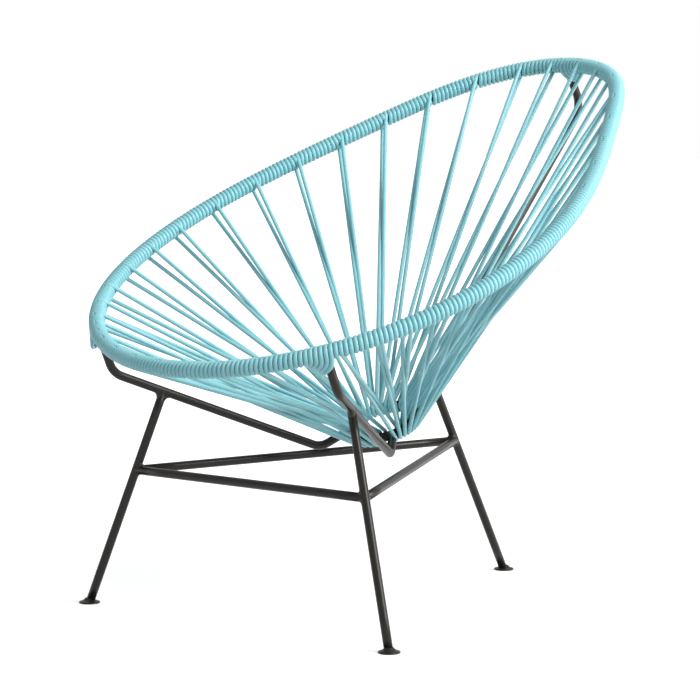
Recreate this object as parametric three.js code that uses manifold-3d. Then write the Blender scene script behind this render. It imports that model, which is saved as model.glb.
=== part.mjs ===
// A low garden chair: a wrapped egg-shaped hoop, a small bottom ring, and cord strung between them,
// carried by three bent arms on three splayed legs. Millimetres, +Z up, the front faces -Y, +X is the
// sitter's left. The frame is laid out with the front feet on Y = 0, then centred over its footprint.
import * as THREE from "three";
import { mergeVertices } from "three/addons/utils/BufferGeometryUtils.js";
import Module from "manifold-3d";

const wasm = await Module();
wasm.setup();

// Rod, cord and weld sizes
const rodDiameter = 12.7;
const cordDiameter = 5.9;
const strandDiameter = 4.6;
const strandPassGap = 1;
const weldGap = 0.3;
const cordSeatGap = 0.5;
const bendRadius = 34;
const toeBendRadius = 28;

// Hoop: each coordinate is a sum of cosines of the angle round it, from 0 at the front to 180 at the back
const hoopHalfWidth = 353;
const hoopFrontExtraWidth = 169;
const hoopShoulderExtraWidth = 71;
const hoopMidSetback = 403;
const hoopHalfRun = 420;
const hoopSideForward = 71;
const hoopEndPinch = 25;
const hoopMidHeight = 610;
const hoopHalfRise = 197;
const hoopSideLift = 32;
const hoopEndLift = 10;

// Bottom ring, tilted up at the back
const ringRadius = 50;
const ringSetback = 327;
const ringHeight = 259;
const ringTilt = 25;

// Arms: where they leave the hoop and reach the ring, and their bends
const frontArmHoopAngle = 22.3;
const frontArmRingAngle = 55;
const frontKneeDrop = 57;
const frontKneeSetback = 26;
const frontToeReach = 45;
const frontToeHeading = 36;
const frontToeDrop = 25;
const rearKneeDrop = 66;
const rearKneeSetback = 42;
const rearToeReach = 20;
const rearToeDrop = 13;

// Legs, feet and stretchers
const frontFootHalfSpacing = 285;
const rearFootSetback = 622;
const frontLegShare = 0.237;
const rearLegShare = 0.889;
const frontStretcherHeight = 199;
const rearStretcherHeight = 215;
const footDiameter = 31;
const footHeight = 7.5;
const footRimHeight = 2.5;
const footTopDiameter = 15;

// Rim wrapping: turns of cord counted along each half of the hoop, and its simplified ribs
const turnsPerHalf = 194;
const strandTurnCounts = [4, 12, 20, 28, 37, 44, 51, 59, 68, 78, 88, 100, 112, 123, 135, 147, 159, 172, 182, 190];
const frontRibs = 22;
const sideRibs = 52;
const ribDepth = 1.4;
const knuckleSwell = 12;
const knuckleLength = 27;
const ringOuterRunMargin = 13.5;
const ringInnerRunMargin = 8;
const ringFrontExtraMargin = 12;

const rodRadius = rodDiameter / 2;
const strandRadius = strandDiameter / 2;
const wrapRadius = rodRadius + cordDiameter;
const wrapCentreRadius = rodRadius + cordDiameter / 2;
const rodSides = 10;
const wrapSides = 8;
const strandSides = 6;
const cutterSides = 16;
const ringSegments = 40;
const loopSteps = 6;
const bendSteps = 5;
const hoopSamples = 720;
const ribsPerBoreRing = 2;
const rimCutterRings = 2;
const strandCutterSides = 12;
const strandCutterStep = 16;
const gapSamples = 200;
const bendRoomShare = 0.48;

const powderCoat = new THREE.MeshStandardMaterial({ color: 0x1d1b1a, roughness: 0.42, metalness: 0.3 });
const aquaCord = new THREE.MeshStandardMaterial({ color: 0x6fc7d3, roughness: 0.38, metalness: 0 });

const degrees = THREE.MathUtils.degToRad;
const vector = (x, y, z) => new THREE.Vector3(x, y, z);

// The centre line of the hoop's rod at an angle, in radians, from the front centre towards +X
function hoopPoint(angle) {
  const one = Math.cos(angle);
  const two = Math.cos(2 * angle);
  const three = Math.cos(3 * angle);
  return vector(
    Math.sin(angle) * (hoopHalfWidth + hoopFrontExtraWidth * one + hoopShoulderExtraWidth * two),
    hoopMidSetback - hoopHalfRun * one - hoopSideForward * two - hoopEndPinch * three,
    hoopMidHeight - hoopHalfRise * one - hoopSideLift * two - hoopEndLift * three,
  );
}

// Arc lengths along one half of the hoop, for placing turns and ribs at even spacing
const halfLengths = [0];
for (let i = 1; i <= hoopSamples; i += 1) {
  const here = hoopPoint((Math.PI * i) / hoopSamples);
  const before = hoopPoint((Math.PI * (i - 1)) / hoopSamples);
  halfLengths.push(halfLengths[i - 1] + here.distanceTo(before));
}
const halfLength = halfLengths[hoopSamples];

// The hoop angle at a signed arc length from the front centre
function hoopAngle(length) {
  const wrapped = Math.abs(length) > halfLength ? length - Math.sign(length) * 2 * halfLength : length;
  const size = Math.min(Math.abs(wrapped), halfLength);
  let i = 1;
  while (i < hoopSamples && halfLengths[i] < size) i += 1;
  const share = (size - halfLengths[i - 1]) / (halfLengths[i] - halfLengths[i - 1]);
  return (Math.sign(wrapped) * Math.PI * (i - 1 + share)) / hoopSamples;
}

function hoopLengthAt(angle) {
  const place = (Math.abs(angle) / Math.PI) * hoopSamples;
  const i = Math.min(Math.floor(place), hoopSamples - 1);
  return Math.sign(angle) * (halfLengths[i] + (place - i) * (halfLengths[i + 1] - halfLengths[i]));
}

// The hoop's centre line, its tangent, and two axes across it: out of the hoop, and through it
const hoopCentre = hoopPoint(0).add(hoopPoint(Math.PI)).multiplyScalar(0.5);
const tangentStep = Math.PI / hoopSamples;
function hoopFrame(length) {
  const angle = hoopAngle(length);
  const at = hoopPoint(angle);
  const along = hoopPoint(angle + tangentStep).sub(hoopPoint(angle - tangentStep)).normalize();
  const out = at.clone().sub(hoopCentre);
  out.addScaledVector(along, -out.dot(along)).normalize();
  return { at, along, out, through: along.clone().cross(out) };
}

// A closed skin over rings of points; open ended lists of rings get a flat cap at each end
function skin(rings, closed) {
  const sides = rings[0].length;
  const points = rings.flat();
  const faces = [];
  const spans = closed ? rings.length : rings.length - 1;
  for (let i = 0; i < spans; i += 1) {
    const a = i * sides;
    const b = ((i + 1) % rings.length) * sides;
    for (let j = 0; j < sides; j += 1) {
      const k = (j + 1) % sides;
      faces.push(a + j, a + k, b + k, a + j, b + k, b + j);
    }
  }
  if (!closed) {
    const last = (rings.length - 1) * sides;
    for (let j = 1; j < sides - 1; j += 1) {
      faces.push(0, j + 1, j);
      faces.push(last, last + j, last + j + 1);
    }
  }
  const geometry = new THREE.BufferGeometry().setFromPoints(points);
  geometry.setIndex(faces);
  return geometry;
}

// One ring of points about a place, on two axes across the run
function sectionRing(at, first, second, radiusAt, sides) {
  const ring = [];
  for (let j = 0; j < sides; j += 1) {
    const turn = (2 * Math.PI * j) / sides;
    const radius = radiusAt(turn);
    ring.push(
      at.clone().addScaledVector(first, radius * Math.cos(turn)).addScaledVector(second, radius * Math.sin(turn)),
    );
  }
  return ring;
}

// A rod or cord through a list of places: the section's axes are carried along without twist
function rodThrough(places, radius, sides, startAxis) {
  const rings = [];
  let first = startAxis.clone();
  for (let i = 0; i < places.length; i += 1) {
    const before = places[Math.max(i - 1, 0)];
    const after = places[Math.min(i + 1, places.length - 1)];
    const along = after.clone().sub(before).normalize();
    first = first.clone().addScaledVector(along, -first.dot(along)).normalize();
    const second = along.clone().cross(first);
    const ring = [];
    for (let j = 0; j < sides; j += 1) {
      const turn = (2 * Math.PI * (j + 0.5)) / sides;
      ring.push(
        places[i]
          .clone()
          .addScaledVector(first, radius * Math.cos(turn))
          .addScaledVector(second, radius * Math.sin(turn)),
      );
    }
    rings.push(ring);
  }
  return skin(rings, false);
}

// Corners of a bent rod turned into arcs
function rounded(corners, radii) {
  const places = [corners[0]];
  for (let i = 1; i < corners.length - 1; i += 1) {
    const before = corners[i].clone().sub(corners[i - 1]);
    const after = corners[i + 1].clone().sub(corners[i]);
    const room = Math.min(before.length(), after.length()) * bendRoomShare;
    const inward = before.normalize();
    const outward = after.normalize();
    const turn = inward.angleTo(outward);
    const radius = Math.min(radii[i - 1], room / Math.tan(turn / 2));
    const axis = inward.clone().cross(outward).normalize();
    const start = corners[i].clone().addScaledVector(inward, -radius * Math.tan(turn / 2));
    const toCentre = axis.clone().cross(inward);
    const centre = start.clone().addScaledVector(toCentre, radius);
    for (let k = 0; k <= bendSteps; k += 1) {
      const spoke = toCentre.clone().multiplyScalar(-radius).applyAxisAngle(axis, (turn * k) / bendSteps);
      places.push(centre.clone().add(spoke));
    }
  }
  places.push(corners[corners.length - 1]);
  return places;
}

function solidOf(geometry) {
  const bare = geometry.clone();
  bare.deleteAttribute("normal");
  bare.deleteAttribute("uv");
  const merged = mergeVertices(bare, 1e-4);
  return new wasm.Manifold(
    new wasm.Mesh({
      numProp: 3,
      vertProperties: new Float32Array(merged.attributes.position.array),
      triVerts: new Uint32Array(merged.index.array),
    }),
  );
}

// A piece with its neighbours' enlarged shapes cut away
function cutBy(geometry, cutters) {
  let solid = solidOf(geometry);
  for (const cutter of cutters) solid = solid.subtract(solidOf(cutter));
  const mesh = solid.getMesh();
  const cut = new THREE.BufferGeometry();
  cut.setAttribute("position", new THREE.BufferAttribute(mesh.vertProperties, 3));
  cut.setIndex(new THREE.BufferAttribute(mesh.triVerts, 1));
  return cut;
}

const chair = new THREE.Group();
function add(name, geometry, material) {
  const shown = geometry.index ? geometry.toNonIndexed() : geometry;
  shown.computeVertexNormals();
  const mesh = new THREE.Mesh(shown, material);
  mesh.name = name;
  chair.add(mesh);
  return mesh;
}

const cutterRadius = (rodRadius + weldGap) / Math.cos(Math.PI / cutterSides);
const hoopCutterRadius = (rodRadius + weldGap) / Math.cos(Math.PI / wrapSides);

// Hoop rod: rings every few ribs, shared with the bore of the wrapping so that the two stay parallel
const frontArmLength = hoopLengthAt(degrees(frontArmHoopAngle));
const runs = [
  { name: "rim_wrap_front", from: -frontArmLength, to: frontArmLength, ribs: frontRibs },
  { name: "rim_wrap_left", from: frontArmLength, to: halfLength, ribs: sideRibs },
  { name: "rim_wrap_right", from: halfLength, to: 2 * halfLength - frontArmLength, ribs: sideRibs },
];
const boreLengths = (run) => {
  const rings = Math.round(run.ribs / ribsPerBoreRing);
  return Array.from({ length: rings + 1 }, (_, i) => run.from + ((run.to - run.from) * i) / rings);
};
const hoopRingAt = (length, radius, sides) => {
  const { at, out, through } = hoopFrame(length);
  return sectionRing(at, out, through, () => radius, sides);
};
const hoopLengths = runs.flatMap((run) => boreLengths(run).slice(0, -1));
const hoopRod = (radius, sides) => skin(hoopLengths.map((length) => hoopRingAt(length, radius, sides)), true);
add("seat_hoop", hoopRod(rodRadius, wrapSides), powderCoat);

// Bottom ring, with angles counted from the front centre towards +X
const ringCentre = vector(0, ringSetback, ringHeight);
const ringBack = vector(0, Math.cos(degrees(ringTilt)), Math.sin(degrees(ringTilt)));
const ringSide = vector(1, 0, 0);
const ringOut = (angle) =>
  ringSide.clone().multiplyScalar(Math.sin(angle)).addScaledVector(ringBack, -Math.cos(angle));
const ringPoint = (angle) => ringCentre.clone().addScaledVector(ringOut(angle), ringRadius);
const ringAlong = (angle) =>
  ringSide.clone().multiplyScalar(Math.cos(angle)).addScaledVector(ringBack, Math.sin(angle));
const ringNormal = ringBack.clone().cross(ringSide);
function ringRod(radius, sides) {
  const rings = [];
  for (let i = 0; i < ringSegments; i += 1) {
    const angle = (2 * Math.PI * i) / ringSegments;
    rings.push(sectionRing(ringPoint(angle), ringOut(angle), ringNormal, () => radius, sides));
  }
  return skin(rings, true);
}
add("bottom_ring", ringRod(rodRadius, rodSides), powderCoat);

// Arms: from the hoop down to a knee, along a straight run, to a toe that turns up to the ring
const frontArmAngle = degrees(frontArmRingAngle);
function frontArmCorners(side) {
  const top = hoopPoint(side * degrees(frontArmHoopAngle));
  const end = ringPoint(side * frontArmAngle);
  const toe = vector(
    end.x + side * frontToeReach * Math.sin(degrees(frontToeHeading)),
    end.y - frontToeReach * Math.cos(degrees(frontToeHeading)),
    end.z - frontToeDrop,
  );
  return [top, vector(top.x, top.y + frontKneeSetback, top.z - frontKneeDrop), toe, end];
}
function rearArmCorners() {
  const top = hoopPoint(Math.PI);
  const end = ringPoint(Math.PI);
  const toe = vector(0, end.y + rearToeReach, end.z - rearToeDrop);
  return [top, vector(0, top.y + rearKneeSetback, top.z - rearKneeDrop), toe, end];
}
const armCorners = { left: frontArmCorners(1), right: frontArmCorners(-1), rear: rearArmCorners() };
const armRod = (corners, radius, sides) =>
  rodThrough(rounded(corners, [bendRadius, toeBendRadius]), radius, sides, vector(1, 0, 0));
const armCutters = {};
for (const [side, corners] of Object.entries(armCorners)) {
  armCutters[side] = armRod(corners, cutterRadius, cutterSides);
  const cutters = [hoopRod(hoopCutterRadius, wrapSides), ringRod(cutterRadius, cutterSides)];
  add(`arm_${side}`, cutBy(armRod(corners, rodRadius, rodSides), cutters), powderCoat);
}

// Legs and feet: each leg runs from its foot to a place on its arm's straight run
const feet = {
  left: vector(frontFootHalfSpacing, 0, 0),
  right: vector(-frontFootHalfSpacing, 0, 0),
  rear: vector(0, rearFootSetback, 0),
};
const legShares = { left: frontLegShare, right: frontLegShare, rear: rearLegShare };
const legTop = (side) => armCorners[side][1].clone().lerp(armCorners[side][2], legShares[side]);
const straightRod = (from, to, radius, sides) => {
  const across = vector(0, 0, 1).cross(to.clone().sub(from));
  return rodThrough([from, to], radius, sides, across.normalize());
};
const legRod = (side, radius, sides) => straightRod(feet[side], legTop(side), radius, sides);
const slabWidth = 4 * footDiameter;
const footSlab = new THREE.BoxGeometry(slabWidth, slabWidth, 2 * (footHeight + weldGap));
const footProfile = [
  new THREE.Vector2(0, 0),
  new THREE.Vector2(footDiameter / 2, 0),
  new THREE.Vector2(footDiameter / 2, footRimHeight),
  new THREE.Vector2((footDiameter + footTopDiameter) / 4, (footRimHeight + 2 * footHeight) / 3),
  new THREE.Vector2(footTopDiameter / 2, footHeight),
  new THREE.Vector2(0, footHeight),
];
const footSides = 24;
for (const side of Object.keys(feet)) {
  const slab = footSlab.clone().translate(feet[side].x, feet[side].y, 0);
  add(`leg_${side}`, cutBy(legRod(side, rodRadius, rodSides), [armCutters[side], slab]), powderCoat);
  const foot = add(`foot_${side}`, new THREE.LatheGeometry(footProfile, footSides), powderCoat);
  foot.rotation.x = Math.PI / 2;
  foot.position.copy(feet[side]);
}

// Stretchers: a triangle between the legs, each cut round the legs and the stretchers placed before it
const stretcherHeights = { left: frontStretcherHeight, right: frontStretcherHeight, rear: rearStretcherHeight };
const stretcherPoint = (side) => {
  const top = legTop(side);
  return feet[side].clone().lerp(top, stretcherHeights[side] / top.z);
};
const stretcherPairs = [
  ["stretcher_front", "left", "right"],
  ["stretcher_left", "left", "rear"],
  ["stretcher_right", "right", "rear"],
];
const placedStretchers = [];
for (const [name, from, to] of stretcherPairs) {
  const ends = [stretcherPoint(from), stretcherPoint(to)];
  const cutters = [from, to].map((side) => legRod(side, cutterRadius, cutterSides)).concat(placedStretchers);
  add(name, cutBy(straightRod(ends[0], ends[1], rodRadius, rodSides), cutters), powderCoat);
  placedStretchers.push(straightRod(ends[0], ends[1], cutterRadius, cutterSides));
}

// Rim wrapping: ribbed sleeves round the hoop's rod between the arms. The last turns before each arm
// also take in its top, so a sleeve swells towards that arm.
const armHoopLengths = [-frontArmLength, frontArmLength, halfLength, 2 * halfLength - frontArmLength];
const armDirections = [armCorners.right, armCorners.left, armCorners.rear, armCorners.right].map((corners) =>
  corners[1].clone().sub(corners[0]).normalize(),
);
function wrapRing(length, radius, sides) {
  const { at, out, through } = hoopFrame(length);
  return sectionRing(at, out, through, (turn) => {
    const spoke = out.clone().multiplyScalar(Math.cos(turn)).addScaledVector(through, Math.sin(turn));
    let swell = 0;
    armHoopLengths.forEach((armLength, i) => {
      const reach = (armLength - length) / knuckleLength;
      if (reach < 0 || reach >= 1) return;
      swell += Math.max(0, spoke.dot(armDirections[i])) ** 2 * Math.cos((reach * Math.PI) / 2) ** 2;
    });
    return radius + knuckleSwell * swell;
  }, sides);
}
for (const run of runs) {
  const pitch = (run.to - run.from) / run.ribs;
  const from = run.from + weldGap / 2;
  const to = run.to - weldGap / 2;
  const outer = [];
  for (let i = 0; i < run.ribs; i += 1) {
    const start = run.from + i * pitch;
    outer.push(wrapRing(Math.max(start, from), wrapRadius - ribDepth, wrapSides));
    outer.push(wrapRing(start + pitch / 2, wrapRadius, wrapSides));
  }
  outer.push(wrapRing(to, wrapRadius - ribDepth, wrapSides));
  const bore = boreLengths(run)
    .map((length) => Math.min(Math.max(length, from), to))
    .map((length) => hoopRingAt(length, rodRadius + weldGap, wrapSides));
  const sleeve = skin(outer.concat(bore.reverse()), true);
  add(run.name, cutBy(sleeve, Object.values(armCutters)), aquaCord);
}

// Strands: each is one run of cord from the top of the rim, round the ring, and back under the rim.
// Its two runs cross, one beside the other, so they keep half a cord and a gap to each side.
const besideHalf = (strandDiameter + strandPassGap) / 2;
const loopRadius = (rodRadius + cordSeatGap + strandRadius) / Math.cos(Math.PI / (2 * loopSteps));
const turnPitch = halfLength / turnsPerHalf;
const halfNodes = strandTurnCounts.map((turns) => turns * turnPitch);
const nodeLengths = halfNodes.concat(halfNodes.map((length) => 2 * halfLength - length).reverse());
const armRingAngles = [-frontArmAngle, frontArmAngle, Math.PI, 2 * Math.PI - frontArmAngle];
const strandBays = [
  { name: "left", from: 1, to: 2, hand: 1, extraMargin: 0 },
  { name: "right", from: 2, to: 3, hand: -1, extraMargin: 0 },
  { name: "front", from: 0, to: 1, hand: -1, extraMargin: ringFrontExtraMargin },
];

// A short stretch of the wrapped rim, enlarged, that a strand's ends are cut back to
function rimCutter(length) {
  const radius = (wrapRadius + cordSeatGap) / Math.cos(Math.PI / strandCutterSides);
  const rings = [];
  for (let k = -rimCutterRings; k <= rimCutterRings; k += 1)
    rings.push(wrapRing(length + k * strandCutterStep, radius, strandCutterSides));
  return skin(rings, false);
}

// The places along one strand, from the top of the rim round the ring and back under the rim.
// The hand says which of its runs lies ahead.
function strandRoute(hoopLength, ringAngle, hand) {
  const rim = hoopFrame(hoopLength);
  const ring = ringPoint(ringAngle);
  const up = rim.at.clone().sub(ring).normalize();
  const ringTangent = ringAlong(ringAngle);
  const climb = up.clone().addScaledVector(ringTangent, -up.dot(ringTangent)).normalize();
  const inside = ringTangent.clone().cross(climb).negate();
  const rimSide = rim.along.clone().addScaledVector(up, -rim.along.dot(up)).normalize();
  const rimInside = rimSide.clone().cross(up).negate();
  const beside = hand * besideHalf;
  const places = [
    rim.at.clone().addScaledVector(rimInside, wrapCentreRadius).addScaledVector(rimSide, beside),
  ];
  for (let k = 0; k <= loopSteps; k += 1) {
    const turn = (Math.PI * k) / loopSteps;
    places.push(
      ring
        .clone()
        .addScaledVector(inside, -loopRadius * Math.cos(turn))
        .addScaledVector(climb, -loopRadius * Math.sin(turn))
        .addScaledVector(ringTangent, beside * (1 - (2 * k) / loopSteps)),
    );
  }
  places.push(
    rim.at.clone().addScaledVector(rimInside, -wrapCentreRadius).addScaledVector(rimSide, -beside),
  );
  return { places, side: rimSide };
}

// Least distance between two straight runs, measured on points
function leastGap(a, b, c, d) {
  let least = Infinity;
  for (let i = 0; i <= gapSamples; i += 1) {
    const p = a.clone().lerp(b, i / gapSamples);
    const line = new THREE.Line3(c, d);
    least = Math.min(least, line.closestPointToPoint(p, true, vector(0, 0, 0)).distanceTo(p));
  }
  return least;
}

let strandGap = Infinity;
for (const bay of strandBays) {
  const inBay = nodeLengths
    .map((length) => (bay.from === 0 && length > halfLength ? length - 2 * halfLength : length))
    .filter((length) => length > armHoopLengths[bay.from] && length < armHoopLengths[bay.to])
    .sort((a, b) => a - b);
  const margins = [ringInnerRunMargin, ringOuterRunMargin];
  if (bay.hand < 0) margins.reverse();
  const from = armRingAngles[bay.from] + degrees(margins[0] + bay.extraMargin);
  const to = armRingAngles[bay.to] - degrees(margins[1] + bay.extraMargin);
  inBay.forEach((length, i) => {
    const angle = from + ((to - from) * i) / (inBay.length - 1);
    const { places, side } = strandRoute(length, angle, bay.hand);
    const tube = rodThrough(places, strandRadius, strandSides, side);
    const number = String(i + 1).padStart(2, "0");
    add(`strand_${bay.name}_${number}`, cutBy(tube, [rimCutter(length)]), aquaCord);
    const last = places.length - 1;
    const gap = leastGap(places[0], places[1], places[last - 1], places[last]) - strandDiameter;
    strandGap = Math.min(strandGap, gap);
  });
}
console.log(`least gap between the two runs of a strand: ${strandGap.toFixed(2)} mm`);

// The origin goes to the middle of the footprint
const box = new THREE.Box3().setFromObject(chair);
chair.position.y = -(box.min.y + box.max.y) / 2;
chair.position.x = -(box.min.x + box.max.x) / 2;

const root = new THREE.Group();
root.add(chair);

export default root;
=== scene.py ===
import logging
import math
from dataclasses import dataclass, field
from enum import Enum
from typing import Any, Sequence

import bpy
import numpy as np
from mathutils import Matrix, Vector


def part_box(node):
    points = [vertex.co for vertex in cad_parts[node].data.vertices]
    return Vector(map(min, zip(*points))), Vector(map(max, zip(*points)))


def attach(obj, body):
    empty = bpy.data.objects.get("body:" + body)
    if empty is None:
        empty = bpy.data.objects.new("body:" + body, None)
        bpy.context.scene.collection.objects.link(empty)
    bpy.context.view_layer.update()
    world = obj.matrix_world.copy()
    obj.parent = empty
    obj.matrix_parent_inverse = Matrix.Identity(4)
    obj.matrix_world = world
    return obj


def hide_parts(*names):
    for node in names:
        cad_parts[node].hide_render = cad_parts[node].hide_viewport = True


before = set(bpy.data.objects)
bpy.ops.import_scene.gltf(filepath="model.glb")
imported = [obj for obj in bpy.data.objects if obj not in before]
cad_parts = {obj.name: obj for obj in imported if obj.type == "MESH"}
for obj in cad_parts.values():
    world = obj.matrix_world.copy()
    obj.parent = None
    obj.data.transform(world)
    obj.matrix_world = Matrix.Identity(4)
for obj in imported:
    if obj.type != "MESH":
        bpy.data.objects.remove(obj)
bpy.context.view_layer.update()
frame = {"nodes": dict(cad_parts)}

LOG = logging.getLogger("garden_chair")
Array = np.ndarray
Colour = tuple[float, float, float, float]
PLAIN_TONE = 0.5
TINY = 1e-9


# Small vector helpers

def unit(vectors: Array) -> Array:
    """Vectors divided by their own lengths."""
    return vectors / np.linalg.norm(vectors, axis=-1, keepdims=True)


def dot(a: Array, b: Array) -> Array:
    """Row by row sum of products, kept as a column."""
    return np.sum(a * b, axis=-1, keepdims=True)


def across(vectors: Array, axis: Array) -> Array:
    """The part of each vector that is square to an axis, at unit length."""
    return unit(vectors - axis * dot(vectors, axis))


def smooth(x: Array) -> Array:
    """Three x squared less two x cubed, held between nought and one."""
    x = np.clip(x, 0.0, 1.0)
    return x * x * (3.0 - 2.0 * x)


def grid_quads(spans: int, rows: int, sides: int) -> Array:
    """Faces between the rows of a grid whose columns go round.

    Args:
        spans: How many gaps between rows are filled.
        rows: How many rows there are, after which the first comes again.
        sides: Points in a row.

    Returns:
        Four point numbers for each face.
    """
    i, j = np.arange(spans)[:, None], np.arange(sides)[None, :]
    k, after = (j + 1) % sides, (i + 1) % rows
    corners = [i * sides + j, i * sides + k, after * sides + k, after * sides + j]
    return np.stack(corners, axis=-1).reshape(-1, 4)


class Bay(Enum):
    """The three openings of the hoop between its arms."""

    FRONT = "front"
    LEFT = "left"
    RIGHT = "right"


class Side(Enum):
    """The three arms, legs and feet, by where they stand."""

    LEFT = "left"
    RIGHT = "right"
    REAR = "rear"

    @property
    def hand(self) -> float:
        """One on the sitter's left, less one on the right, nought at the back."""
        return {Side.LEFT: 1.0, Side.RIGHT: -1.0, Side.REAR: 0.0}[self]


# Shader writing

@dataclass(frozen=True)
class Signal:
    """One node output whose operators add Math nodes, so that shader maths reads as Python."""

    graph: "Graph"
    socket: Any

    def _math(self, operation: str, first: Any, second: Any) -> "Signal":
        """Add one Math node of two inputs."""
        return self.graph.add("ShaderNodeMath", {"operation": operation}, {0: first, 1: second})

    def __add__(self, other: Any) -> "Signal":
        """This plus other."""
        return self._math("ADD", self, other)

    def __radd__(self, other: Any) -> "Signal":
        """Other plus this."""
        return self._math("ADD", other, self)

    def __sub__(self, other: Any) -> "Signal":
        """This less other."""
        return self._math("SUBTRACT", self, other)

    def __rsub__(self, other: Any) -> "Signal":
        """Other less this."""
        return self._math("SUBTRACT", other, self)

    def __mul__(self, other: Any) -> "Signal":
        """This times other."""
        return self._math("MULTIPLY", self, other)

    def __rmul__(self, other: Any) -> "Signal":
        """Other times this."""
        return self._math("MULTIPLY", other, self)

    def ramp(self, low: float, high: float) -> "Signal":
        """Nought below low, one above high, and an even slope between."""
        inputs = {"Value": self, "From Min": low, "From Max": high}
        return self.graph.add("ShaderNodeMapRange", {"clamp": True}, inputs)


class Graph:
    """The nodes of one material or sky, added through a single method."""

    def __init__(self, owner: bpy.types.Material | bpy.types.World) -> None:
        """Empty the owner's nodes.

        Args:
            owner: The material or world that the nodes belong to.
        """
        self.owner = owner
        owner.use_nodes = True
        self.tree = owner.node_tree
        self.tree.nodes.clear()

    def add(self, kind: str, settings: dict[str, Any] | None = None, inputs: dict[Any, Any] | None = None,
            output: Any = 0) -> Signal:
        """Add one node, set it up, and fill or link its sockets.

        Args:
            kind: The node's type.
            settings: Its own settings, set first.
            inputs: Socket names or numbers, each with a value or a Signal.
            output: The name or number of the output to hand back.

        Returns:
            The chosen output as a Signal.
        """
        node = self.tree.nodes.new(kind)
        for key, value in (settings or {}).items():
            setattr(node, key, value)
        for key, value in (inputs or {}).items():
            if isinstance(value, Signal):
                self.tree.links.new(value.socket, node.inputs[key])
            else:
                node.inputs[key].default_value = value
        return Signal(self, None if output is None else node.outputs[output])

    def mix(self, share: Any, first: Any, second: Any) -> Signal:
        """Blend two colours by a share, from the first at nought to the second at one.

        Args:
            share: A Signal or a number.
            first: A colour Signal or an RGBA tuple.
            second: A colour Signal or an RGBA tuple.

        Returns:
            The blended colour.
        """
        settings = {"data_type": "RGBA", "clamp_factor": True}
        return self.add("ShaderNodeMix", settings, {0: share, 6: first, 7: second}, output=2)

    def grey(self, value: Signal) -> Signal:
        """A colour with all three parts equal to a value."""
        return self.add("ShaderNodeCombineColor", {}, {0: value, 1: value, 2: value})

    def noise(self, place: Signal, scale: float, detail: float = 2.0, roughness: float = 0.5) -> Signal:
        """A cloudy pattern of the given size, from nought to one."""
        inputs = {"Vector": place, "Scale": scale, "Detail": detail, "Roughness": roughness}
        return self.add("ShaderNodeTexNoise", {}, inputs, output="Fac")

    def shown_white(self, gloss: float = 1.0) -> Signal:
        """One for rays from the camera or through glass, and nought for light on the chair.

        Args:
            gloss: The value for rays off gloss.

        Returns:
            The share of white that a ray is shown.
        """
        kinds = ("Camera", "Glossy", "Transmission")
        camera, glossy, through = (
            self.add("ShaderNodeLightPath", output=f"Is {kind} Ray") for kind in kinds)
        return (camera + glossy * gloss + through).ramp(0.0, 1.0)

    def close(self, surface: Signal,
              kind: str = "ShaderNodeOutputMaterial") -> bpy.types.Material | bpy.types.World:
        """Link the surface to an output node and hand back what the nodes belong to."""
        self.add(kind, {}, {"Surface": surface}, output=None)
        return self.owner


@dataclass(frozen=True)
class PowderCoat:
    """Near-black baked powder coat on steel rod: a fine orange peel and a soft sheen.

    A pattern is given by its scale, its detail and, where it isn't a half, its roughness.
    """

    dark: Colour = (0.0105, 0.0088, 0.0066, 1.0)
    light: Colour = (0.020, 0.0165, 0.0125, 1.0)
    sheen: float = 0.30
    shine: float = 0.27
    refraction: float = 1.5
    cloud: tuple[float, ...] = (26.0, 3.0)
    peel: tuple[float, ...] = (900.0, 2.0, 0.45)
    speck: tuple[float, ...] = (2600.0, 1.0)
    colour_shares: tuple[float, float] = (0.7, 0.3)
    height_shares: tuple[float, float] = (0.8, 0.2)
    rough_spreads: tuple[float, float] = (0.12, 0.1)
    bump_strength: float = 0.35
    bump_depth: float = 0.0002

    def build(self) -> bpy.types.Material:
        """Make the material.

        Returns:
            The finished material.
        """
        g = Graph(bpy.data.materials.new("powder_coat_black"))
        place = g.add("ShaderNodeTexCoord", output="Object")
        cloud, peel, speck = (g.noise(place, *pattern) for pattern in (self.cloud, self.peel, self.speck))
        colour = g.mix(cloud * self.colour_shares[0] + speck * self.colour_shares[1], self.dark, self.light)
        height = peel * self.height_shares[0] + speck * self.height_shares[1]
        bump = g.add("ShaderNodeBump", {}, {
            "Strength": self.bump_strength, "Distance": self.bump_depth, "Height": height})
        rough = self.sheen + (cloud - 0.5) * self.rough_spreads[0] + (peel - 0.5) * self.rough_spreads[1]
        return g.close(g.add("ShaderNodeBsdfPrincipled", {}, {
            "Base Color": colour, "Roughness": rough, "Normal": bump, "IOR": self.refraction,
            "Specular IOR Level": self.shine}))


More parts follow.
